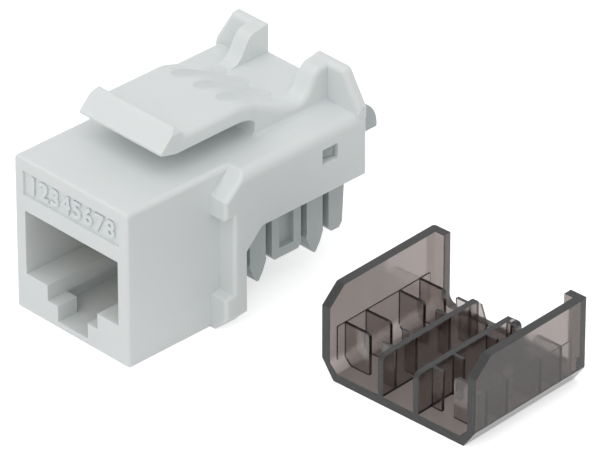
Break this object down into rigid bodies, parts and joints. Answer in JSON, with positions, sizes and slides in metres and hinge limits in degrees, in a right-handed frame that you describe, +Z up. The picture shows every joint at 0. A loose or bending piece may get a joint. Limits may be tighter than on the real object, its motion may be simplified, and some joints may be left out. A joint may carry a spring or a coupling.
{
  "type": "keystone jack",
  "caption": "Modular jack that snaps into a keystone panel opening, with a front plug port, a sprung latch arm, wire posts underneath and a translucent wire cap beside it.",
  "frame": {"origin": "centre of the flat face that the front block stands on", "axes": "+X to the right when facing the plug port, along the front face; +Y from the port back to the wires; +Z up to the latch arm"},
  "size_m": [0.047, 0.0297, 0.0203],
  "materials": {
    "white_plastic": "satin",
    "grey_plastic": "satin",
    "dark_plastic": "matte",
    "smoked_plastic": "gloss",
    "board": "satin",
    "gold_plate": "polished",
    "tin_plate": "satin"
  },
  "bodies": {
    "jack": {"housing": "white_plastic", "terminal_block": "grey_plastic", "circuit_board": "board", "contact_carrier": "dark_plastic", "contact_1": "gold_plate", "contact_2": "gold_plate", "contact_3": "gold_plate", "contact_4": "gold_plate", "contact_5": "gold_plate", "contact_6": "gold_plate", "contact_7": "gold_plate", "contact_8": "gold_plate", "terminal_1": "tin_plate", "terminal_2": "tin_plate", "terminal_3": "tin_plate", "terminal_4": "tin_plate", "terminal_5": "tin_plate", "terminal_6": "tin_plate", "terminal_7": "tin_plate", "terminal_8": "tin_plate", "cap": "smoked_plastic"},
    "latch_arm": {"latch": "white_plastic"}
  },
  "joints": [
    {"name": "latch_flex", "type": "hinge", "parent": "jack", "child": "latch_arm", "pos_m": [0, 0.0111, 0.0169], "axis": [1, 0, 0], "range_deg": [0, 12], "stiffness_Nm_per_rad": 0.3}
  ]
}
